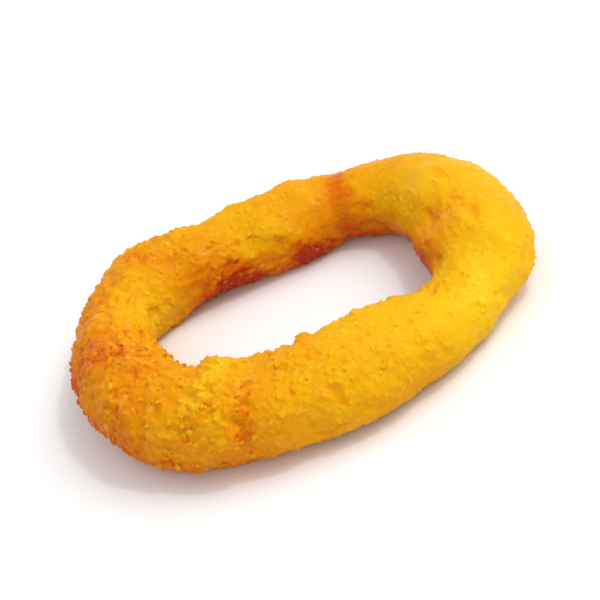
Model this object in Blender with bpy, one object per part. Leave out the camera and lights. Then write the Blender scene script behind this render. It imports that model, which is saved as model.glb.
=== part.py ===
"""A breaded onion ring, deep-fried: one closed oval ring of uneven thickness, lying on its flattened underside.

The ring's frame: +X runs along the longer way across the oval, +Z is up, and the origin is on the resting
plane under the middle of the ring. All lengths are in metres and all angles in degrees.
"""

import math

import bpy
from mathutils import Vector, noise

# The oval that the middle of the tube follows, before its waves.
HALF_LENGTH = 0.0298
HALF_WIDTH = 0.0207

# The crusted tube: its mean radius seen from above, and how tall it is for its width.
TUBE_RADIUS = 0.0071
TUBE_SQUASH = 0.96

# How far the tube's round underside has sat down flat on the resting plane.
SETTLED = 0.0007

# Slow waves round the ring as (waves in one turn, share of the size, turn of the first crest).
OVAL_WAVES = ((3, 0.021, 12), (4, 0.041, -40), (5, 0.018, -12), (6, 0.008, -2))
TUBE_WAVES = ((1, 0.083, -122), (2, 0.072, 33), (3, 0.056, 13), (4, 0.070, 13))

# Short swellings and pinches of the tube as (turn, half-spread, change of radius).
SWELLINGS = (
    (98, 6, -0.0007),  # crease across the far side
    (118, 11, -0.0004),  # thinner run to the left of the crease
    (-62, 8, 0.0003),  # knob beside the hole, on the near side
    (-118, 8, 0.0006),  # knob nearer the left end
    (-18, 15, 0.0014),  # fuller right end
)

# Batter lumps: height and width of the smaller and the larger ones.
LUMPS = ((0.00028, 0.0042), (0.00045, 0.0105))
LUMP_SEED = Vector((3.7, 1.9, 8.2))

# Faces round the ring and round the tube.
TURN_STEPS = 148
TUBE_STEPS = 32
TORUS_RADIUS = 1.0
TORUS_TUBE = 0.25

CRUST_COLOUR = (0.86, 0.43, 0.05, 1.0)
CRUST_ROUGHNESS = 0.55


def clear_scene():
    """Removes every object from the scene."""
    for obj in list(bpy.data.objects):
        bpy.data.objects.remove(obj, do_unlink=True)


def waves_at(turn, waves):
    """The sum of the waves at this turn, as a share of the size that they change."""
    return sum(share * math.cos(count * (turn - math.radians(crest))) for count, share, crest in waves)


def swelling_at(turn):
    """What the short swellings and pinches add to the tube's radius at this turn."""
    total = 0.0
    for place, spread, height in SWELLINGS:
        away = math.remainder(turn - math.radians(place), math.tau) / math.radians(spread)
        total += height * math.exp(-away * away)
    return total


def centre_at(turn):
    """The point of the tube's centre line at this turn, seen from above."""
    reach = 1 + waves_at(turn, OVAL_WAVES)
    return Vector((HALF_LENGTH * reach * math.cos(turn), HALF_WIDTH * reach * math.sin(turn), 0))


def outward_at(turn):
    """The level direction square to the centre line, away from the hole."""
    step = 0.01
    along = (centre_at(turn + step) - centre_at(turn - step)).normalized()
    return Vector((along.y, -along.x, 0))


def lump_at(point):
    """How far the batter stands proud at this point of the smooth ring."""
    return sum(height * noise.noise(point / width + LUMP_SEED) for height, width in LUMPS)


def surface_point(turn, around):
    """The point of the crust at this turn of the ring and this angle round its tube."""
    radius = TUBE_RADIUS * (1 + waves_at(turn, TUBE_WAVES)) + swelling_at(turn)
    axis_height = radius * TUBE_SQUASH - SETTLED
    direction = outward_at(turn) * math.cos(around) + Vector((0, 0, TUBE_SQUASH * math.sin(around)))
    smooth = centre_at(turn) + Vector((0, 0, axis_height)) + direction * radius
    point = smooth + direction * lump_at(smooth)
    point.z = max(point.z, 0.0)
    return point


def make_ring():
    """Bends a torus into the ring: each vertex keeps its turn and its angle round the tube."""
    bpy.ops.mesh.primitive_torus_add(
        major_segments=TURN_STEPS,
        minor_segments=TUBE_STEPS,
        major_radius=TORUS_RADIUS,
        minor_radius=TORUS_TUBE,
    )
    ring = bpy.context.object
    ring.name = "onion_ring"
    for vertex in ring.data.vertices:
        x, y, z = vertex.co
        turn = math.atan2(y, x)
        around = math.atan2(z, math.hypot(x, y) - TORUS_RADIUS)
        vertex.co = surface_point(turn, around)
    ring.data.shade_smooth()
    return ring


def centre_on_origin(ring):
    """Moves the mesh so that the middle of its outline is over the origin."""
    xs = [vertex.co.x for vertex in ring.data.vertices]
    ys = [vertex.co.y for vertex in ring.data.vertices]
    middle = Vector(((min(xs) + max(xs)) / 2, (min(ys) + max(ys)) / 2, 0))
    for vertex in ring.data.vertices:
        vertex.co -= middle


def crust_material():
    """Golden fried crumb."""
    material = bpy.data.materials.new("fried_crust")
    material.use_nodes = True
    shader = material.node_tree.nodes["Principled BSDF"]
    shader.inputs["Base Color"].default_value = CRUST_COLOUR
    shader.inputs["Roughness"].default_value = CRUST_ROUGHNESS
    shader.inputs["Metallic"].default_value = 0.0
    return material


def main():
    clear_scene()
    ring = make_ring()
    centre_on_origin(ring)
    ring.data.materials.append(crust_material())
    collection = bpy.data.collections.new("onion_ring")
    bpy.context.scene.collection.children.link(collection)
    for holder in list(ring.users_collection):
        holder.objects.unlink(ring)
    collection.objects.link(ring)


main()
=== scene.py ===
"""Looks of the onion ring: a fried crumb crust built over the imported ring, on a white studio floor."""

import math

import bmesh
import bpy
import numpy as np
from mathutils import Matrix, Vector, bvhtree, kdtree, noise


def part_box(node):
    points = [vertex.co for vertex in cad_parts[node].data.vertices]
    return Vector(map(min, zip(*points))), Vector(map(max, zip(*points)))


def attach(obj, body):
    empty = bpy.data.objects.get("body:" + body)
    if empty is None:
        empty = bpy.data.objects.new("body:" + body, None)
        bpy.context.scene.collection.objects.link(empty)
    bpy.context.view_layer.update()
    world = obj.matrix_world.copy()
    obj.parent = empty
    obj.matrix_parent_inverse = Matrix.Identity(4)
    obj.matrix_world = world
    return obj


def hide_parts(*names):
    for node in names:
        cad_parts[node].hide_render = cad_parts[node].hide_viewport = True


NODE = "onion_ring"
MM = 0.001

# The batter core under the crumbs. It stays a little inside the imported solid, so that crumb tips end near
# its surface.
CORE_VOXEL = 0.28 * MM
CORE_INSET = 0.34 * MM
CORE_SMOOTHING = 30
BATTER_WAVES = ((0.40 * MM, 5.5 * MM), (0.20 * MM, 2.8 * MM))  # (height, width) of the batter's lumps
CLUMPS = ((0.42 * MM, 1.9 * MM), (0.28 * MM, 1.0 * MM))  # (height, width) of the crumb clumps
CLUMP_WARP, CLUMP_WARP_PITCH = 0.35, 0.8  # how far and how finely the clumps' outlines waver, in widths
PIT_DEPTH, PIT_WIDTH = 0.50 * MM, 2.6 * MM
PIT_START, PIT_SLOPE = 0.30, 0.4  # the noise at which a pit begins, and its rise to full depth
# Painted shade: pits of the batter are darkened by this much browning.
PIT_PAINTED_SHADE = 0.10

# How some measures grow with the coarseness of the crust, as (where it is 0, added where it is 1).
BATTER_GROWTH = (0.5, 1.0)
CLUMP_GROWTH = (0.20, 1.10)
PIT_GROWTH = (0.4, 0.8)
FUSED_GROWTH = (0.68, 0.85)
GRIT_GROWTH = (0.8, 0.4)
UNEVEN_GROWTH = (0.5, 0.45)

# Where each noise is read, so that no two of them run alike.
BATTER_PLACE = (5.1, 2.3, 7.7)
PIT_PLACE = (9.4, 6.2, 0.8)
ALONG_PLACE, ACROSS_PLACE = (2.2, 5.9, 1.4), (7.3, 0.6, 4.8)
BROWNING_PLACE = (1.5, 8.1, 3.3)

# Crumbs fused into the crust, as (share of all tries, smallest and largest width).
FUSED_SORTS = (
    (0.76, 0.40 * MM, 0.66 * MM),
    (0.20, 0.66 * MM, 0.95 * MM),
    (0.04, 0.95 * MM, 1.35 * MM),
)
FUSED_TRIES = 80000
FUSED_LIFT = -0.12  # how far the middle of a crumb is over the batter, in widths
WIDEST_SMOOTH, WIDEST_COARSE = 0.55 * MM, 1.60 * MM
FUSE_VOXEL = 0.13 * MM
MELT_ROUNDS = 6
MELT_SHARES = (0.08, 0.34)  # share of each round, where the crust is coarse and where it is smooth
CRUST_TRIANGLES = 195000

# Grit on the crust, in the same form.
GRIT_SORTS = ((0.80, 0.26 * MM, 0.42 * MM), (0.20, 0.42 * MM, 0.60 * MM))
GRIT_TRIES = 6000
GRIT_LIFT = -0.30
GRIT_FLOOR = 0.6  # least height of a grain over the floor, in widths
GRIT_SHARES = (0.05, 0.95)  # share of the grains kept where the crust is smooth, and added where it is coarse
GRIT_BROWNING = 0.08
GRIT_OVER_BATTER = 0.3  # height in millimetres over the batter that grit starts from, for its painted highlight and shade

CRUMB_SPACING = 0.36  # least distance between two crumbs, as a share of their widths together
CRUMB_CORNERS = 9
CRUMB_FORMS = 40
CRUMB_LEAN = 0.45
LIFT_SPREAD = 0.10
LEAST_STRETCH, MOST_STRETCH = (1.0, 0.8, 0.55), (1.3, 1.05, 0.8)  # of a crumb, along its three axes

# How coarse the crust is: the middle value, then bumps as (turn, half-spread in degrees, change).
EVEN_COARSENESS = 0.35
COARSE_LEFT = (200, 75, 0.65)
SMOOTH_RIGHT = (45, 40, 0.15)

SEED = 11

# Colour of single crumbs: a crumb's tint is a random number from 0 to 1.
BLACK, WHITE = (0, 0, 0, 1), (1, 1, 1, 1)
TINT_BROWNING = 0.06
SPECKLE_BROWNING, SPECKLE_WIDTH = 0.08, 0.9 * MM
# The highest tints make paler crumbs, which also serve as painted glints; the lowest make toasted crumbs.
PALE_GLINT_FROM, TOASTED_TO = 0.93, 0.03
CRUST_GLOW, GRIT_GLOW = 0.26, 0.0  # subsurface weight

# Stage, light and camera.
FLOOR_SIZE = 6
KEY_PLACE, KEY_SIZE, KEY_POWER = (0.52, -0.02, 0.74), 0.70, 4.15
SPARKLE_PLACE, SPARKLE_SIZE, SPARKLE_POWER = (0.30, -0.10, 0.60), 0.05, 0.6
ROOM_LIGHT = 0.86
ELEVATION, ROLL = math.radians(40), math.radians(22)
DISTANCE, VIEW_WIDTH, SENSOR = 0.55, 0.0905, 36


# ---------------------------------------------------------------- meshes as arrays


def evaluated_mesh(obj):
    """A new mesh of the object with its modifiers applied."""
    graph = bpy.context.evaluated_depsgraph_get()
    return bpy.data.meshes.new_from_object(obj.evaluated_get(graph))


def apply_modifiers(obj):
    """Replaces the object's mesh by its evaluated one."""
    old = obj.data
    new = evaluated_mesh(obj)
    obj.modifiers.clear()
    obj.data = new
    bpy.data.meshes.remove(old)


def points_of(mesh):
    """The mesh's vertices as an array."""
    flat = np.empty(len(mesh.vertices) * 3, np.float32)
    mesh.vertices.foreach_get("co", flat)
    return flat.reshape(-1, 3).astype(float)


def normals_of(mesh):
    """The mesh's vertex normals as an array."""
    flat = np.empty(len(mesh.vertices) * 3, np.float32)
    mesh.vertex_normals.foreach_get("vector", flat)
    return flat.reshape(-1, 3).astype(float)


def set_points(mesh, points):
    """Moves the mesh's vertices to these points."""
    mesh.vertices.foreach_set("co", points.astype(np.float32).ravel())
    mesh.update()


def mesh_from(name, points, triangles):
    """A mesh from arrays of points and triangles."""
    mesh = bpy.data.meshes.new(name)
    mesh.vertices.add(len(points))
    mesh.vertices.foreach_set("co", points.astype(np.float32).ravel())
    mesh.loops.add(triangles.size)
    mesh.loops.foreach_set("vertex_index", triangles.astype(np.int32).ravel())
    mesh.polygons.add(len(triangles))
    mesh.polygons.foreach_set("loop_start", np.arange(0, triangles.size, 3, dtype=np.int32))
    mesh.update(calc_edges=True)
    return mesh


def set_attribute(mesh, name, values):
    """Stores one number per vertex under this name, for the materials."""
    layer = mesh.attributes.new(name, "FLOAT", "POINT")
    layer.data.foreach_set("value", np.asarray(values, np.float32))


def noise_at(points, width, place):
    """Smooth noise, about -1 to 1, with lumps of this width, read from this place."""
    shift = Vector(place)
    return np.array([noise.noise(Vector(p) / width + shift) for p in points])


def clumps_at(points, width):
    """Rounded clumps of about this width with creases between them, -0.5 to 0.5."""
    places = [Vector(p) / width for p in points]
    warped = [p + CLUMP_WARP * noise.noise_vector(p * CLUMP_WARP_PITCH) for p in places]
    return 0.5 - np.array([noise.voronoi(p)[0][0] for p in warped])


def grown(growth, coarse):
    """A measure that grows with the coarseness of the crust."""
    return growth[0] + growth[1] * coarse


def add_object(name, mesh):
    """An object of this mesh in the scene."""
    obj = bpy.data.objects.new(name, mesh)
    bpy.context.scene.collection.objects.link(obj)
    return obj


# ---------------------------------------------------------------- the batter core


def make_core(node):
    """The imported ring, rounded, lumpy and a little smaller, as an object that the crumbs are set on."""
    core = add_object("core", node.data.copy())
    remesh = core.modifiers.new("even", "REMESH")
    remesh.mode = "VOXEL"
    remesh.voxel_size = CORE_VOXEL
    smooth = core.modifiers.new("round", "SMOOTH")
    smooth.factor = 0.5
    smooth.iterations = CORE_SMOOTHING
    apply_modifiers(core)
    points = points_of(core.data)
    normals = normals_of(core.data)
    lift = -CORE_INSET * np.ones(len(points))
    coarse = coarseness_at(points)
    for height, width in BATTER_WAVES:
        lift += height * grown(BATTER_GROWTH, coarse) * noise_at(points, width, BATTER_PLACE)
    for height, width in CLUMPS:
        lift += height * grown(CLUMP_GROWTH, coarse) * clumps_at(points, width)
    spots, fold = spots_at(points, normals)[1], fold_at(points, normals)[1]
    lift -= PIT_DEPTH * pits_at(points) + spots + fold
    lift += swells_at(points, normals)
    points += normals * lift[:, None]
    points[:, 2] = np.maximum(points[:, 2], 0.0)
    set_points(core.data, points)
    return core


# ---------------------------------------------------------------- crumbs


def crumb_template(rng):
    """Points and triangles of one angular crumb about 1 across: the hull of a few random corners."""
    corners = rng.normal(size=(CRUMB_CORNERS, 3))
    corners *= 0.5 / np.linalg.norm(corners, axis=1)[:, None]
    corners *= rng.uniform(LEAST_STRETCH, MOST_STRETCH)
    form = bmesh.new()
    for corner in corners:
        form.verts.new(corner)
    bmesh.ops.convex_hull(form, input=form.verts)
    bmesh.ops.recalc_face_normals(form, faces=form.faces)
    bmesh.ops.triangulate(form, faces=form.faces)
    form.verts.index_update()
    points = np.array([v.co for v in form.verts])
    triangles = np.array([[v.index for v in face.verts] for face in form.faces])
    form.free()
    return points, triangles


def crumb_widths(rng, sorts, count):
    """Random crumb widths, with each sort's share of the tries."""
    shares = np.array([sort[0] for sort in sorts])
    low = np.array([sort[1] for sort in sorts])
    high = np.array([sort[2] for sort in sorts])
    sort = rng.choice(len(shares), size=count, p=shares / shares.sum())
    return rng.uniform(low[sort], high[sort])


def scatter(points, widths):
    """Indices of the tries to keep, widest first, so that no two are closer than their widths allow."""
    order = np.argsort(-widths)
    cell = widths.max() * 2 * CRUMB_SPACING
    grid = {}
    picked = []
    for index in order:
        x, y, z = points[index]
        home = (int(x // cell), int(y // cell), int(z // cell))
        near = (
            other
            for dx in (-1, 0, 1)
            for dy in (-1, 0, 1)
            for dz in (-1, 0, 1)
            for other in grid.get((home[0] + dx, home[1] + dy, home[2] + dz), ())
        )
        free = True
        for other in near:
            ox, oy, oz = points[other]
            reach = CRUMB_SPACING * (widths[index] + widths[other])
            if (x - ox) ** 2 + (y - oy) ** 2 + (z - oz) ** 2 < reach * reach:
                free = False
                break
        if free:
            grid.setdefault(home, []).append(index)
            picked.append(index)
    return np.array(picked)


def surface_tries(rng, mesh, count):
    """Random points on the mesh with their normals."""
    mesh.calc_loop_triangles()
    corners = np.empty(len(mesh.loop_triangles) * 3, np.int32)
    mesh.loop_triangles.foreach_get("vertices", corners)
    corners = corners.reshape(-1, 3)
    points, normals = points_of(mesh), normals_of(mesh)
    a, b, c = (points[corners[:, i]] for i in range(3))
    areas = np.linalg.norm(np.cross(b - a, c - a), axis=1)
    pick = rng.choice(len(areas), size=count, p=areas / areas.sum())
    u, v = rng.random(count), rng.random(count)
    flip = u + v > 1
    u[flip], v[flip] = 1 - u[flip], 1 - v[flip]
    w = 1 - u - v
    place = a[pick] * w[:, None] + b[pick] * u[:, None] + c[pick] * v[:, None]
    mean = sum(normals[corners[pick, i]] for i in range(3))
    return place, mean / np.linalg.norm(mean, axis=1)[:, None]


def random_frames(rng, normals):
    """For each normal, three axes: two at a random turn in the surface and one near the normal."""
    lean = normals + rng.normal(scale=CRUMB_LEAN, size=normals.shape)
    up = lean / np.linalg.norm(lean, axis=1)[:, None]
    side = np.cross(up, rng.normal(size=normals.shape))
    side /= np.linalg.norm(side, axis=1)[:, None]
    return side, np.cross(up, side), up


def crumbs_mesh(rng, name, places, normals, widths, lift):
    """One mesh of crumbs at these places, each at its own turn.

    A crumb's middle is about this share of its width over the surface. Returns the mesh, the crumb that
    each vertex belongs to and each vertex's height over the surface."""
    shapes = [crumb_template(rng) for _ in range(CRUMB_FORMS)]
    side, across, up = random_frames(rng, normals)
    kind = rng.integers(CRUMB_FORMS, size=len(places))
    raise_by = rng.normal(lift, LIFT_SPREAD, size=len(places)) * widths
    points, triangles, owner, height, start = [], [], [], [], 0
    for k, (shape, faces) in enumerate(shapes):
        mine = np.nonzero(kind == k)[0]
        turned = (
            shape[None, :, 0:1] * side[mine][:, None, :]
            + shape[None, :, 1:2] * across[mine][:, None, :]
            + shape[None, :, 2:3] * up[mine][:, None, :]
        ) * widths[mine][:, None, None]
        centres = places[mine] + normals[mine] * raise_by[mine][:, None]
        points.append((turned + centres[:, None, :]).reshape(-1, 3))
        above = (turned * normals[mine][:, None, :]).sum(axis=2) + raise_by[mine][:, None]
        height.append(above.ravel())
        shifts = start + len(shape) * np.arange(len(mine))
        triangles.append((faces[None] + shifts[:, None, None]).reshape(-1, 3))
        owner.append(np.repeat(mine, len(shape)))
        start += len(shape) * len(mine)
    mesh = mesh_from(name, np.vstack(points), np.vstack(triangles))
    return mesh, np.concatenate(owner), np.concatenate(height)


# ---------------------------------------------------------------- the crust


def melt(mesh):
    """Softens the skin where the crust is smooth, and only a little where it is coarse."""
    ends = np.empty(len(mesh.edges) * 2, np.int32)
    mesh.edges.foreach_get("vertices", ends)
    a, b = ends.reshape(-1, 2).T
    points = points_of(mesh)
    count = np.bincount(ends, minlength=len(points))
    coarse = np.clip(coarseness_at(points), 0, 1)
    share = MELT_SHARES[0] * coarse + MELT_SHARES[1] * (1 - coarse)
    for _ in range(MELT_ROUNDS):
        for axis in range(3):
            along = points[:, axis]
            total = np.bincount(a, along[b], len(points))
            total = total + np.bincount(b, along[a], len(points))
            points[:, axis] += share * (total / count - along)
    set_points(mesh, points)


def fuse(core, crumbs):
    """Core and crumbs made one closed skin, as an object."""
    join = add_object("crumb_crust", core.data.copy())
    loose = add_object("loose", crumbs)
    with bpy.context.temp_override(active_object=join, selected_editable_objects=[join, loose]):
        bpy.ops.object.join()
    remesh = join.modifiers.new("fuse", "REMESH")
    remesh.mode = "VOXEL"
    remesh.voxel_size = FUSE_VOXEL
    apply_modifiers(join)
    melt(join.data)
    triangles = sum(len(p.vertices) - 2 for p in join.data.polygons)
    thin = join.modifiers.new("thin", "DECIMATE")
    thin.ratio = min(1.0, CRUST_TRIANGLES / triangles)
    apply_modifiers(join)
    points = points_of(join.data)
    points[:, 2] = np.maximum(points[:, 2], 0.0)
    set_points(join.data, points)
    return join


def ring_place(points, normals):
    """Where points are on the ring: turn in degrees, and how far the surface faces out and up, -1 to 1."""
    turn = np.degrees(np.arctan2(points[:, 1], points[:, 0]))
    outward = points[:, :2] / np.linalg.norm(points[:, :2], axis=1)[:, None]
    return turn, (outward * normals[:, :2]).sum(axis=1), normals[:, 2]


def bump_at(turn, place, spread):
    """1 at this turn, falling smoothly to 0 over the spread, in degrees."""
    away = (turn - place + 180) % 360 - 180
    return np.exp(-((away / spread) ** 2))


# Where the crust is paler or browner, as (turn, half-spread in degrees, side, change of browning).
# Turn 0 is the right end, 90 the far side, 180 the left end and -90 the near side.
# The side is of the tube: in, out, top or all.
PATCHES = (
    (-14, 44, "all", -0.22),  # pale yellow right end
    (-32, 16, "out", -0.14),  # palest, on its near outer side
    (-16, 9, "in", 0.14),  # orange bank at the hole's right end
    (0, 13, "in", 0.20),
    (-4, 8, "all", 0.08),
    (-75, 34, "all", -0.12),  # golden near side
    (-95, 4, "all", 0.06),
    (-95, 16, "out", -0.08),
    (-125, 6, "all", 0.07),
    (-132, 10, "top", -0.14),  # yellow patch beside the hole's near left end
    (-165, 16, "in", -0.10),  # brighter bank at the hole's left end
    (-150, 14, "out", 0.08),  # orange lower edge at the near left
    (-172, 26, "all", 0.07),  # orange left end
    (-179, 12, "out", 0.08),
    (175, 7, "out", 0.09),
    (175, 6, "top", 0.06),
    (178, 12, "in", -0.10),
    (166, 10, "out", 0.06),
    (154, 12, "in", -0.32),
    (154, 6, "top", 0.09),
    (135, 6, "all", 0.08),
    (110, 26, "all", -0.08),  # golden far side, left of the crease
    (92, 12, "in", -0.18),
    (119, 9, "in", 0.15),
    (36, 14, "in", -0.09),
    (20, 11, "top", -0.07),
    (5, 6, "in", 0.08),
    (-4, 7, "in", 0.07),
    (-60, 13, "top", -0.06),
    (-85, 6, "in", 0.06),
)
# Small spots as (turn, lean, half-length along the ring, half-length round the tube, browning, depth).
# The lean is the tube's angle in degrees: 0 faces outward, 90 up, 180 into the hole.
# A spot of negative depth is a lump. The browning of a pit is partly painted shade in it.
SPOTS = (
    (-30, 50, 3.6 * MM, 2.2 * MM, -0.20, 0.0),  # painted highlight: the palest spot on the right end
    (-37, 114, 4.8 * MM, 1.8 * MM, 0.36, 0.0),  # orange strip between it and the hole
    (-176, 78, 2.0 * MM, 1.6 * MM, 0.22, 0.10 * MM),  # toasted spot on the left end
    (-175, 98, 2.6 * MM, 2.6 * MM, 0.08, 0.0),
    (175, 96, 2.4 * MM, 1.6 * MM, 0.09, 0.0),
    (175, 56, 2.2 * MM, 1.4 * MM, -0.08, 0.0),
    (176, 155, 2.2 * MM, 1.6 * MM, -0.08, 0.0),
    (145, 134, 2.4 * MM, 1.6 * MM, 0.09, 0.0),
    (-165, 8, 3.5 * MM, 1.6 * MM, 0.12, 0.0),
    (-165, 52, 4.0 * MM, 3.0 * MM, -0.08, 0.0),
    (-168, 112, 1.1 * MM, 1.0 * MM, 0.12, 0.10 * MM),
    (-159, 118, 1.2 * MM, 0.9 * MM, 0.12, 0.10 * MM),
    (-157, 36, 1.6 * MM, 1.2 * MM, 0.18, 0.25 * MM),  # pits on the near left, darkened with painted shade
    (-136, 36, 1.3 * MM, 0.8 * MM, 0.36, 0.70 * MM),
    (-131, 64, 1.2 * MM, 0.8 * MM, 0.26, 0.50 * MM),
    (-119, 56, 0.8 * MM, 1.3 * MM, 0.28, 0.50 * MM),  # broken groove across the near side, darkened with painted shade
    (-122, 36, 0.9 * MM, 1.4 * MM, 0.30, 0.50 * MM),
    (-118, 14, 0.8 * MM, 1.1 * MM, 0.18, 0.30 * MM),
    (-134, 88, 1.8 * MM, 1.3 * MM, -0.20, -0.20 * MM),  # yellow crumbs over the pits
    (-128, 50, 1.4 * MM, 1.2 * MM, -0.22, -0.35 * MM),
    (-140, 54, 1.2 * MM, 0.8 * MM, -0.20, -0.30 * MM),
    (-146, 45, 1.4 * MM, 1.1 * MM, -0.18, -0.25 * MM),
    (-142, 28, 1.6 * MM, 0.8 * MM, -0.20, -0.30 * MM),
    (-115, 36, 1.2 * MM, 1.4 * MM, -0.08, -0.30 * MM),
    (-125, 12, 2.2 * MM, 0.9 * MM, -0.22, -0.20 * MM),
    (-97, 84, 0.9 * MM, 0.7 * MM, 0.12, 0.15 * MM),  # specks along the near side
    (-84, 60, 0.8 * MM, 0.7 * MM, 0.10, 0.15 * MM),
    (-43, 134, 1.5 * MM, 2.2 * MM, -0.06, -0.75 * MM),  # knob and notch of the hole's near edge
    (-35, 137, 0.9 * MM, 2.2 * MM, 0.08, 0.85 * MM),
    (-105, 129, 0.9 * MM, 1.8 * MM, 0.05, 0.60 * MM),
    (-131, 110, 1.1 * MM, 1.0 * MM, -0.06, -0.40 * MM),
    (137, 90, 1.2 * MM, 1.3 * MM, 0.20, 0.25 * MM),  # browned spots along the far side
    (114, 62, 1.1 * MM, 0.8 * MM, 0.22, 0.20 * MM),
    (97, 60, 0.8 * MM, 0.8 * MM, 0.20, 0.15 * MM),
    (122, 86, 1.8 * MM, 1.1 * MM, -0.12, -0.15 * MM),
    (71, 98, 2.6 * MM, 3.2 * MM, -0.04, -0.35 * MM),  # rounded lobe beside the fold
    (125, 52, 2.0 * MM, 1.6 * MM, 0.16, 0.0),
    (135, 54, 2.2 * MM, 1.6 * MM, -0.24, 0.0),
    (135, 125, 2.0 * MM, 2.0 * MM, 0.08, 0.0),
    (113, 118, 1.8 * MM, 1.6 * MM, -0.08, 0.0),
    (105, 135, 1.8 * MM, 1.4 * MM, -0.15, 0.0),
    (66, 136, 1.6 * MM, 1.5 * MM, 0.08, 0.0),
    (-8, 8, 5.0 * MM, 1.6 * MM, 0.09, 0.0),
    (-25, 138, 2.2 * MM, 1.5 * MM, -0.10, 0.0),
    (-135, 76, 1.6 * MM, 1.2 * MM, -0.10, 0.0),
    (44, 150, 1.6 * MM, 1.4 * MM, 0.12, 0.25 * MM),  # orange patch over the hole's far right end
    (30, 140, 1.2 * MM, 1.0 * MM, 0.10, 0.15 * MM),
)
# Low swells and hollows, as (turn, lean, half-length along the ring, half-length round the tube, height).
SWELLS = (
    (157, 55, 4.0 * MM, 4.0 * MM, -0.60 * MM),
    (133, 47, 4.8 * MM, 4.0 * MM, 1.15 * MM),
    (113, 55, 2.6 * MM, 4.0 * MM, -0.70 * MM),
    (101, 55, 2.8 * MM, 4.0 * MM, 1.15 * MM),
    (79, 50, 3.6 * MM, 4.0 * MM, 0.95 * MM),
    (40, 55, 3.0 * MM, 3.5 * MM, 0.45 * MM),
    (12, 20, 4.0 * MM, 3.5 * MM, -0.40 * MM),
    (-16, -26, 2.4 * MM, 3.0 * MM, 0.60 * MM),
    (-22, -60, 2.8 * MM, 3.0 * MM, -1.0 * MM),
    (-54, -30, 3.0 * MM, 3.0 * MM, -0.35 * MM),
    (-84, -40, 2.5 * MM, 3.0 * MM, 0.40 * MM),
    (-98, -48, 2.5 * MM, 3.0 * MM, 0.45 * MM),
    (-123, -45, 3.0 * MM, 3.0 * MM, -0.45 * MM),
    (-145, -38, 3.0 * MM, 3.0 * MM, 0.35 * MM),
    (175, 148, 2.0 * MM, 2.5 * MM, -1.40 * MM),
    (140, -129, 4.5 * MM, 3.0 * MM, 0.75 * MM),
    (76, -125, 9.0 * MM, 3.0 * MM, 0.75 * MM),
    (-1, 174, 6.0 * MM, 4.2 * MM, 1.95 * MM),
    (-61, 127, 8.5 * MM, 3.4 * MM, 1.45 * MM),
    (-98, 127, 1.8 * MM, 2.4 * MM, 0.85 * MM),
    (-112, 127, 2.0 * MM, 2.4 * MM, 0.35 * MM),
    (-147, 124, 4.2 * MM, 2.8 * MM, 0.90 * MM),
)
# The fold on the far side, where a rounded lobe ends over the rest of the ring. Its darker band beyond the
# lobe's edge is painted shade.
FOLD_TURN, FOLD_LEAN = 64, 94  # the edge of the lobe, at the top of the tube
FOLD_SLANT, FOLD_REACH = -0.06, 70  # the edge's turn per degree of lean, and up to how many degrees
FOLD_BOTTOM, FOLD_DARKEST = 1.5 * MM, 2.3 * MM  # how far beyond the edge it's deepest and darkest with painted shade
FOLD_DEPTH, FOLD_STEEP, FOLD_GENTLE = 0.50 * MM, 1.5 * MM, 3.0 * MM
# Strength of the fold's painted shade, and its widths on the lobe's side and beyond.
FOLD_PAINTED_SHADE, FOLD_EDGE, FOLD_FADE = 0.25, 2.4 * MM, 5.2 * MM
FADE_TOP, FADE_IN = 0.32, 0.85  # share of the fade on top of the tube, and added towards the hole
FOLD_OUTER, FOLD_OUTER_LOSS = 1.5, 1.4  # the fold weakens on the tube's outer side
FOLD_LOW, FOLD_UP = 0.1, 1.3  # its painted shade is least on the lower side
SPOT_WARP, WARP_WIDTH = 0.5 * MM, 1.8 * MM  # how far and how finely the spots' outlines waver
RING_STEP = 0.50 * MM  # length along the ring of one degree of turn
TUBE_STEP = 0.13 * MM  # length round the tube of one degree of lean
BASE_BROWNING = 0.58
# Painted shade on the outer side of the tube, below its top.
LOW_PAINTED_SHADE = 0.13
# On the coarse crust, clump tops are paler as painted highlight, and the creases between them browner as
# painted shade.
CLUMP_LIGHT_AND_SHADE = 0.12
CLUMP_START = 0.3  # the coarseness from which the clumps get this painted highlight and shade
BROWNING_WAVES = ((0.06, 9.0 * MM), (0.06, 3.5 * MM), (0.045, 1.6 * MM))  # (change, width)
WALL_IN, WALL_UP, WALL_LOW, WALL_OUT = 0.10, 0.60, 0.1, 0.50  # where the painted shade of the inner wall, of its lower half and of the outer low side begins
# Painted shade on the inner wall, which faces into the hole, with a little of its own browning.
WALL_SHADE_AND_BROWNING = 0.50
UNDER_PAINTED_SHADE = 0.22  # painted shade, more on the lower half of the inner wall
WALL_CHANGES = ((114, 14, 0.20), (74, 7, 0.25), (148, 16, -0.45))  # (turn, half-spread in degrees, change of the wall's painted shade)
SIDE_EDGE = 1.3


def side_of_tube(side, out, up):
    """How far the surface faces this side of the tube, 0 to 1."""
    facing = {"in": -out, "out": out, "top": up, "all": np.ones_like(out)}[side]
    return np.clip(facing * SIDE_EDGE, 0, 1)


def spots_at(points, normals):
    """What the spots add up to at points on the ring: the change of browning and the depth."""
    turn, out, up = ring_place(points, normals)
    tilt = np.degrees(np.arctan2(up, out))
    waver_along = SPOT_WARP * noise_at(points, WARP_WIDTH, ALONG_PLACE)
    waver_across = SPOT_WARP * noise_at(points, WARP_WIDTH, ACROSS_PLACE)
    browning_and_shade, depth = np.zeros(len(points)), np.zeros(len(points))
    for place, lean, half_along, half_across, change, deep in SPOTS:
        along = ((turn - place + 180) % 360 - 180) * RING_STEP + waver_along
        across = ((tilt - lean + 180) % 360 - 180) * TUBE_STEP + waver_across
        share = np.exp(-((along / half_along) ** 2) - (across / half_across) ** 2)
        browning_and_shade += change * share
        depth += deep * share
    return browning_and_shade, depth


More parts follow.
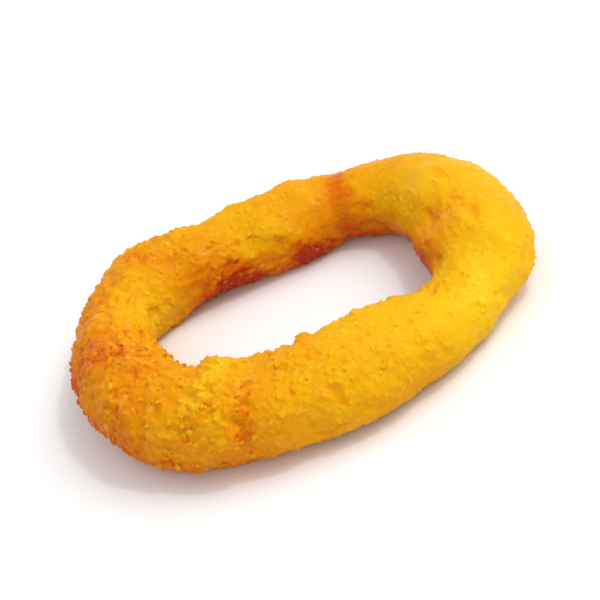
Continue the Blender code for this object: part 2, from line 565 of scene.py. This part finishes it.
def swells_at(points, normals):
    """How far the swells lift points on the ring."""
    turn, out, up = ring_place(points, normals)
    tilt = np.degrees(np.arctan2(up, out))
    height = np.zeros(len(points))
    for place, lean, half_along, half_across, rise in SWELLS:
        along = ((turn - place + 180) % 360 - 180) * RING_STEP
        across = ((tilt - lean + 180) % 360 - 180) * TUBE_STEP
        height += rise * np.exp(-((along / half_along) ** 2) - (across / half_across) ** 2)
    return height


def fold_at(points, normals):
    """The fold's painted shade and its depth: steep under the lobe and gentle beyond."""
    turn, out, up = ring_place(points, normals)
    tilt = (np.degrees(np.arctan2(up, out)) - FOLD_LEAN + 180) % 360 - 180
    slant = FOLD_SLANT * np.clip(tilt, -FOLD_REACH, FOLD_REACH)
    along = (turn - FOLD_TURN - slant) * RING_STEP
    along += SPOT_WARP * noise_at(points, WARP_WIDTH, ALONG_PLACE)
    deep, dark = along + FOLD_BOTTOM, along + FOLD_DARKEST
    fade = FOLD_FADE * (FADE_TOP + FADE_IN * np.clip(-out, 0, 1) ** 2)
    seen = np.clip(FOLD_LOW + FOLD_UP * up, 0, 1) * np.clip(FOLD_OUTER - FOLD_OUTER_LOSS * out, 0, 1)
    browning_and_shade = np.exp(-((dark / np.where(dark > 0, FOLD_EDGE, fade)) ** 2)) * seen
    depth = np.exp(-((deep / np.where(deep > 0, FOLD_STEEP, FOLD_GENTLE)) ** 2))
    depth = depth * np.clip(FOLD_OUTER - out, 0, 1)
    return FOLD_PAINTED_SHADE * browning_and_shade, FOLD_DEPTH * depth


def pits_at(points):
    """How deep in a pit of the batter points are, 0 to about 1."""
    rough = grown(PIT_GROWTH, coarseness_at(points))
    return rough * np.clip(noise_at(points, PIT_WIDTH, PIT_PLACE) - PIT_START, 0, 1) / PIT_SLOPE


def browning_and_shade_at(points, normals):
    """How brown the crust is fried, 0 pale yellow to 1 deep brown, by place on the ring, with painted shade
    added on the inner wall, on the outer low side, in the fold, in the pits and between the clumps, and
    painted highlight on the clumps' tops.
    """
    turn, out, up = ring_place(points, normals)
    coarse = coarseness_at(points)
    uneven = grown(UNEVEN_GROWTH, coarse)
    brown_and_shade = np.full(len(points), BASE_BROWNING)
    for change, width in BROWNING_WAVES:
        brown_and_shade += change * uneven * noise_at(points, width, BROWNING_PLACE)
    for place, spread, side, change in PATCHES:
        brown_and_shade += change * bump_at(turn, place, spread) * side_of_tube(side, out, up)
    spots, fold = spots_at(points, normals)[0], fold_at(points, normals)[0]
    # The fold and the pits add painted shade; the spots add browning, with painted shade in their pits.
    brown_and_shade += spots + fold + PIT_PAINTED_SHADE * pits_at(points)
    # Painted shade: the inner wall is darkened, and its lower half more.
    wall = np.clip(-out - WALL_IN, 0, 1) * np.clip(WALL_UP - up, 0, 1)
    extra = sum(change * bump_at(turn, place, spread) for place, spread, change in WALL_CHANGES)
    under = UNDER_PAINTED_SHADE * np.clip(-out, 0, 1) * np.clip(-up - WALL_LOW, 0, 1)
    brown_and_shade += (WALL_SHADE_AND_BROWNING + extra) * wall + under
    # Painted highlight on the clumps' tops and painted shade in the creases between them.
    brown_and_shade -= CLUMP_LIGHT_AND_SHADE * np.clip(coarse - CLUMP_START, 0, 1) * clumps_at(points, CLUMPS[0][1])
    # Painted shade: browner on the outer side, below the top of the tube.
    brown_and_shade += LOW_PAINTED_SHADE * np.clip(out, 0, 1) * np.clip(WALL_OUT - up, 0, 1)
    return brown_and_shade


def dress(crust, core, crumb_places, crumb_tints):
    """Stores what the material reads: height over the batter in millimetres, crumb tint, and browning with
    painted shade added.
    """
    points = points_of(crust.data)
    tree = bvhtree.BVHTree.FromObject(core, bpy.context.evaluated_depsgraph_get())
    core_points, core_normals = np.empty_like(points), np.empty_like(points)
    for i, p in enumerate(points):
        place, normal, _, _ = tree.find_nearest(Vector(p))
        core_points[i], core_normals[i] = place, normal
    height = ((points - core_points) * core_normals).sum(axis=1)
    nearest = kdtree.KDTree(len(crumb_places))
    for i, p in enumerate(crumb_places):
        nearest.insert(Vector(p), i)
    nearest.balance()
    tint = np.array([crumb_tints[nearest.find(Vector(p))[1]] for p in points])
    set_attribute(crust.data, "height", height / MM)
    set_attribute(crust.data, "tint", tint)
    set_attribute(crust.data, "browning_and_shade", browning_and_shade_at(points, core_normals))


# ---------------------------------------------------------------- materials


class Nodes:
    """A small helper that adds nodes to a material and links them."""

    def __init__(self, name):
        self.material = bpy.data.materials.new(name)
        self.material.use_nodes = True
        self.tree = self.material.node_tree
        self.shader = self.tree.nodes["Principled BSDF"]

    def add(self, kind, **settings):
        node = self.tree.nodes.new(kind)
        for key, value in settings.items():
            setattr(node, key, value)
        return node

    def link(self, out, into):
        self.tree.links.new(out, into)

    def feed(self, socket, value):
        """Links a socket's value, or sets a number or colour."""
        if isinstance(value, bpy.types.NodeSocket):
            self.link(value, socket)
        else:
            socket.default_value = value

    def math(self, operation, a, b):
        node = self.add("ShaderNodeMath", operation=operation)
        self.feed(node.inputs[0], a)
        self.feed(node.inputs[1], b)
        return node.outputs[0]

    def attribute(self, name):
        return self.add("ShaderNodeAttribute", attribute_name=name).outputs["Fac"]

    def position(self):
        return self.add("ShaderNodeTexCoord").outputs["Object"]

    def noise(self, width, detail=3.0, roughness=0.5):
        node = self.add("ShaderNodeTexNoise")
        node.inputs["Scale"].default_value = 1 / width
        node.inputs["Detail"].default_value = detail
        node.inputs["Roughness"].default_value = roughness
        self.link(self.position(), node.inputs["Vector"])
        return node.outputs["Fac"]

    def ramp(self, value, stops):
        node = self.add("ShaderNodeValToRGB")
        elements = node.color_ramp.elements
        while len(elements) < len(stops):
            elements.new(0.5)
        for element, (place, colour) in zip(elements, stops):
            element.position = place
            element.color = colour
        self.link(value, node.inputs["Fac"])
        return node.outputs["Color"]

    def mix(self, kind, factor, a, b):
        node = self.add("ShaderNodeMix", data_type="RGBA", blend_type=kind)
        self.feed(node.inputs["Factor"], factor)
        self.feed(node.inputs[6], a)
        self.feed(node.inputs[7], b)
        return node.outputs[2]


def colour(red, green, blue):
    """A colour given as seen on a screen, 0 to 255, in the linear values that Blender takes."""
    shares = [c / 255 for c in (red, green, blue)]
    linear = [s / 12.92 if s <= 0.04045 else ((s + 0.055) / 1.055) ** 2.4 for s in shares]
    return (*linear, 1.0)


def crumb_material(name, subsurface):
    """Golden fried crumb, browner where it fried longer, with a little oil; its yellow tips are painted
    highlight and its orange hollows painted shade.
    """
    n = Nodes(name)
    tint = n.attribute("tint")
    height = n.attribute("height")
    by_crumb = n.math("MULTIPLY", n.math("SUBTRACT", tint, 0.5), TINT_BROWNING)
    speckle = n.math("MULTIPLY", n.math("SUBTRACT", n.noise(SPECKLE_WIDTH), 0.5), SPECKLE_BROWNING)
    # The browning attribute carries painted shade as well as the crust's own browning.
    brown_and_shade = n.math("ADD", n.math("ADD", n.attribute("browning_and_shade"), by_crumb), speckle)
    fried = n.ramp(
        brown_and_shade,
        (
            (0.00, colour(230, 205, 40)),
            (0.25, colour(229, 191, 18)),
            (0.45, colour(227, 172, 6)),
            (0.65, colour(221, 145, 3)),
            (0.85, colour(202, 96, 3)),
            (1.00, colour(174, 49, 2)),
        ),
    )
    # Random paler crumbs, which also serve as painted glints.
    pale_crumb_glint = n.math("GREATER_THAN", tint, PALE_GLINT_FROM)
    fried = n.mix("MIX", n.math("MULTIPLY", pale_crumb_glint, 0.22), fried, colour(250, 215, 90))
    toasted = n.math("LESS_THAN", tint, TOASTED_TO)
    fried = n.mix("MIX", n.math("MULTIPLY", toasted, 0.25), fried, colour(206, 100, 10))
    # Painted highlight: crumb tips high over the batter are mixed towards a pale colour.
    tip_highlight = n.ramp(height, ((0.30, BLACK), (0.60, WHITE)))
    fried = n.mix("MIX", n.math("MULTIPLY", tip_highlight, 0.26), fried, colour(240, 200, 70))
    # Painted shade: low places near the batter are darkened.
    hollow_shade = n.ramp(n.math("MULTIPLY", height, 1.6), ((0.0, WHITE), (1.0, BLACK)))
    base = n.mix("MULTIPLY", n.math("MULTIPLY", hollow_shade, 0.22), fried, colour(232, 165, 75))
    n.feed(n.shader.inputs["Base Color"], base)
    rough = n.math("ADD", n.math("MULTIPLY", n.noise(1.6 * MM), 0.60), 0.12)
    n.feed(n.shader.inputs["Roughness"], rough)
    grain = n.add("ShaderNodeBump")
    grain.inputs["Strength"].default_value = 0.5
    grain.inputs["Distance"].default_value = 0.14 * MM
    n.link(n.noise(0.28 * MM, detail=4, roughness=0.65), grain.inputs["Height"])
    n.link(grain.outputs["Normal"], n.shader.inputs["Normal"])
    n.shader.inputs["Subsurface Weight"].default_value = subsurface
    n.shader.inputs["Subsurface Radius"].default_value = (1.0, 0.40, 0.10)
    n.shader.inputs["Subsurface Scale"].default_value = 0.60 * MM
    n.shader.inputs["Specular IOR Level"].default_value = 0.06
    n.shader.inputs["Sheen Weight"].default_value = 0.08
    n.shader.inputs["Sheen Roughness"].default_value = 0.25
    n.shader.inputs["Sheen Tint"].default_value = (1.0, 0.8, 0.5, 1)
    return n.material


def floor_material():
    """Plain white."""
    n = Nodes("white_floor")
    n.shader.inputs["Base Color"].default_value = (0.86, 0.86, 0.86, 1)
    n.shader.inputs["Roughness"].default_value = 0.8
    return n.material


# ---------------------------------------------------------------- the object


def coarseness_at(points):
    """How coarse the crumb is by place on the ring: 1 on the left, less on the right."""
    turn = np.degrees(np.arctan2(points[:, 1], points[:, 0]))
    left_turn, left_spread, more = COARSE_LEFT
    right_turn, right_spread, less = SMOOTH_RIGHT
    coarse = EVEN_COARSENESS + more * bump_at(turn, left_turn, left_spread)
    return coarse - less * bump_at(turn, right_turn, right_spread)


def make_grit(rng, crust, material):
    """Fine loose grains half sunk in the crust."""
    places, normals = surface_tries(rng, crust.data, GRIT_TRIES)
    widths = crumb_widths(rng, GRIT_SORTS, GRIT_TRIES) * grown(GRIT_GROWTH, coarseness_at(places))
    picked = scatter(places, widths)
    picked = picked[places[picked, 2] > GRIT_FLOOR * widths[picked]]
    kept = grown(GRIT_SHARES, coarseness_at(places[picked]) ** 2)
    picked = picked[rng.random(len(picked)) < kept]
    rng.shuffle(picked)
    tints = rng.random(len(places))[picked]
    # Each grain takes the crust's browning and painted shade at its place.
    browns_and_shade = browning_and_shade_at(places, normals)[picked] + GRIT_BROWNING
    places, normals, widths = places[picked], normals[picked], widths[picked]
    mesh, owner, height = crumbs_mesh(rng, "grit", places, normals, widths, GRIT_LIFT)
    set_attribute(mesh, "height", GRIT_OVER_BATTER + height / MM)
    set_attribute(mesh, "tint", tints[owner])
    set_attribute(mesh, "browning_and_shade", browns_and_shade[owner])
    mesh.materials.append(material)
    piece = add_object("grit_1", mesh)
    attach(piece, "root")


def make_ring(node):
    """The crust of the ring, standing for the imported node, and the loose grit on it."""
    rng = np.random.default_rng(SEED)
    noise.seed_set(SEED)  # noise_vector takes its offsets from this seed, and from the clock without it
    core = make_core(node)
    places, normals = surface_tries(rng, core.data, FUSED_TRIES)
    coarse = coarseness_at(places)
    widths = crumb_widths(rng, FUSED_SORTS, FUSED_TRIES) * grown(FUSED_GROWTH, coarse)
    widest = WIDEST_SMOOTH + (WIDEST_COARSE - WIDEST_SMOOTH) * np.clip(coarse, 0, 1)
    widths = np.minimum(widths, widest)
    picked = scatter(places, widths)
    places, normals, widths = places[picked], normals[picked], widths[picked]
    crumbs, _, _ = crumbs_mesh(rng, "crumbs", places, normals, widths, FUSED_LIFT)
    crust = fuse(core, crumbs)
    dress(crust, core, places, rng.random(len(places)))
    crust.data.shade_smooth()
    crust.data.materials.clear()
    crust.data.materials.append(crumb_material("fried_crust", CRUST_GLOW))
    bpy.data.objects.remove(core)
    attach(crust, "root")
    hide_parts(NODE)
    make_grit(rng, crust, crumb_material("fried_grit", GRIT_GLOW))


# ---------------------------------------------------------------- stage, light and camera


def make_stage():
    """A white floor that fills the view."""
    bpy.ops.mesh.primitive_plane_add(size=FLOOR_SIZE, location=(0, 0, 0))
    floor = bpy.context.object
    floor.name = "floor"
    floor.data.materials.append(floor_material())


def add_area_light(name, place, aim, size, power):
    """A round white light at this place, turned to the aim."""
    light = bpy.data.lights.new(name, "AREA")
    light.shape = "DISK"
    light.size = size
    light.energy = power
    obj = bpy.data.objects.new(name, light)
    obj.location = place
    obj.rotation_euler = (Vector(aim) - Vector(place)).to_track_quat("-Z", "Y").to_euler()
    bpy.context.scene.collection.objects.link(obj)


def make_lights(centre):
    """A large soft key from the upper right, a small light for glints, and a white room."""
    add_area_light("key", KEY_PLACE, centre, KEY_SIZE, KEY_POWER)
    add_area_light("sparkle", SPARKLE_PLACE, centre, SPARKLE_SIZE, SPARKLE_POWER)
    world = bpy.data.worlds.new("room")
    world.use_nodes = True
    background = world.node_tree.nodes["Background"]
    background.inputs["Color"].default_value = WHITE
    background.inputs["Strength"].default_value = ROOM_LIGHT
    bpy.context.scene.world = world


def make_camera(centre):
    """A long lens from 40 degrees up, rolled so that the ring's right end stands higher in the picture."""
    camera = bpy.data.cameras.new("camera")
    obj = bpy.data.objects.new("camera", camera)
    bpy.context.scene.collection.objects.link(obj)
    back = Vector((0, -math.cos(ELEVATION), math.sin(ELEVATION)))
    obj.location = Vector(centre) + back * DISTANCE
    look = (-back).to_track_quat("-Z", "Y").to_matrix()
    obj.rotation_euler = (look @ Matrix.Rotation(-ROLL, 3, "Z")).to_euler()
    camera.sensor_width = SENSOR
    camera.lens = SENSOR * DISTANCE / VIEW_WIDTH
    camera.clip_start = 0.01
    bpy.context.scene.camera = obj


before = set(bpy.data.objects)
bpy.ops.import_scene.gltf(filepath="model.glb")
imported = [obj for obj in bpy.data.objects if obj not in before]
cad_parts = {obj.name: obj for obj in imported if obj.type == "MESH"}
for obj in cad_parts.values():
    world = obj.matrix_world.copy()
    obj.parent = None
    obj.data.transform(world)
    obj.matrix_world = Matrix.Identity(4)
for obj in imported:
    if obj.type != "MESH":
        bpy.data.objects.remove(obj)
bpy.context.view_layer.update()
bpy.context.scene.view_settings.view_transform = "Standard"
low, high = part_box(NODE)
middle = (low + high) / 2
make_ring(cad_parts[NODE])
make_stage()
make_lights(middle)
make_camera(middle)
